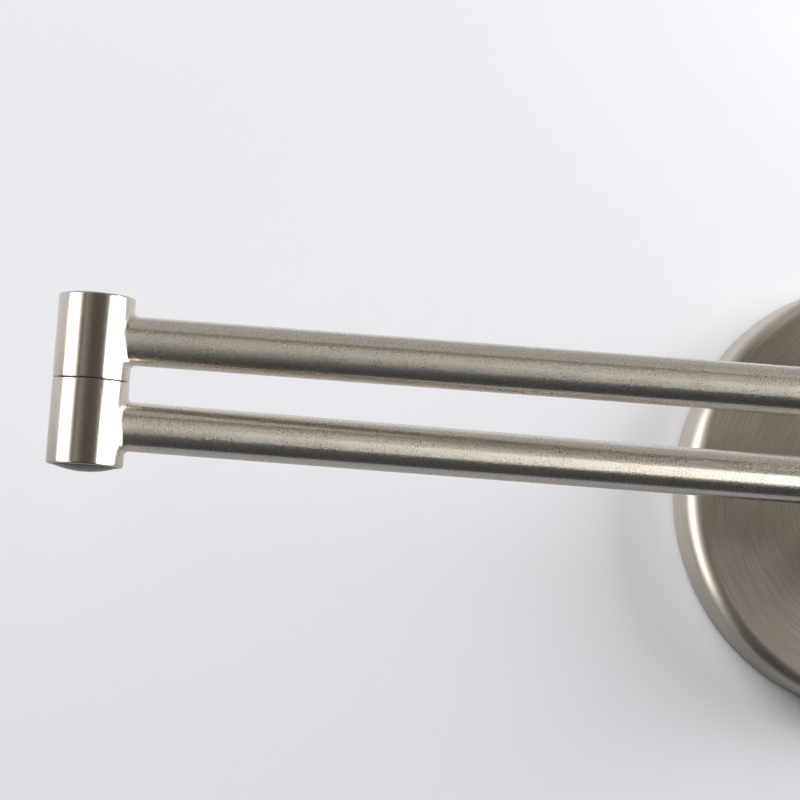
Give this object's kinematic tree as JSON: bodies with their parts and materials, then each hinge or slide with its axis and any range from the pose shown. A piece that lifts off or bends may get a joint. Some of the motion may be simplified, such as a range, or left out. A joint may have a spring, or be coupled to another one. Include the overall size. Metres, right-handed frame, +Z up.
{
  "type": "extendable shaving mirror",
  "caption": "Wall-mounted shaving mirror on a folding double swing arm in satin nickel, with a round wall plate and a two-sided mirror in a swivelling yoke.",
  "frame": {"origin": "centre of the round wall plate, on the wall's face, at the back of the mounting bracket", "axes": "+Z up, +Y into the wall, +X to the viewer's right; the lower arm lies along -X at rest"},
  "size_m": [0.3384, 0.1364, 0.316],
  "materials": {
    "satin_nickel": "satin brushed nickel, fine grain across the tubes and concentric on the plate",
    "zinc_steel": "plain zinc plated",
    "black_plastic": "moulded black, slightly glossy",
    "nylon": "natural nylon",
    "mirror_glass": "polished",
    "backing_board": "matt board"
  },
  "bodies": {
    "wall_mount": {"wall_plate_cover": "satin_nickel", "mounting_bracket": "zinc_steel", "cover_grub_screw": "zinc_steel", "post_collar": "satin_nickel", "wall_clevis": "satin_nickel", "wall_hinge_bolt": "zinc_steel", "wall_hinge_nut": "zinc_steel"},
    "lower_arm": {"wall_hinge_bush_upper": "nylon", "wall_hinge_bush_lower": "nylon", "lower_arm_wall_barrel": "satin_nickel", "lower_arm_tube": "satin_nickel", "lower_arm_elbow_barrel": "satin_nickel", "elbow_cap_bottom": "black_plastic"},
    "upper_arm": {"upper_arm_elbow_barrel": "satin_nickel", "upper_arm_tube": "satin_nickel", "upper_arm_head_barrel": "satin_nickel", "elbow_cap_top": "black_plastic", "elbow_bolt": "zinc_steel", "elbow_nut": "zinc_steel", "elbow_flat_washer": "zinc_steel", "elbow_spring_washer": "zinc_steel", "elbow_friction_washer": "black_plastic", "head_bush": "nylon", "head_cap_bottom": "black_plastic"},
    "yoke": {"swivel_stem": "satin_nickel", "swivel_nut": "zinc_steel", "swivel_spring_washer": "zinc_steel", "yoke": "satin_nickel", "pivot_washer_left": "nylon", "pivot_washer_right": "nylon"},
    "mirror": {"mirror_rim": "satin_nickel", "front_glass": "mirror_glass", "magnifying_glass": "mirror_glass", "backing_board": "backing_board", "pivot_block_left": "zinc_steel", "pivot_block_right": "zinc_steel", "pivot_knob_left": "satin_nickel", "pivot_knob_right": "satin_nickel"}
  },
  "joints": [
    {"name": "wall_swing", "type": "hinge", "parent": "wall_mount", "child": "lower_arm", "pos_m": [0, -0.05, 0], "axis": [0, 0, 1], "range_deg": [0, 120]},
    {"name": "elbow", "type": "hinge", "parent": "lower_arm", "child": "upper_arm", "pos_m": [-0.222, -0.05, 0.01035], "axis": [0, 0, -1], "range_deg": [0, 174]},
    {"name": "head_swivel", "type": "hinge", "parent": "upper_arm", "child": "yoke", "pos_m": [0.01271, -0.07467, 0.0207], "axis": [0, 0, 1], "continuous": true},
    {"name": "mirror_flip", "type": "hinge", "parent": "yoke", "child": "mirror", "pos_m": [0.01271, -0.07467, 0.165], "axis": [0.848, 0.5299, 0], "continuous": true}
  ]
}
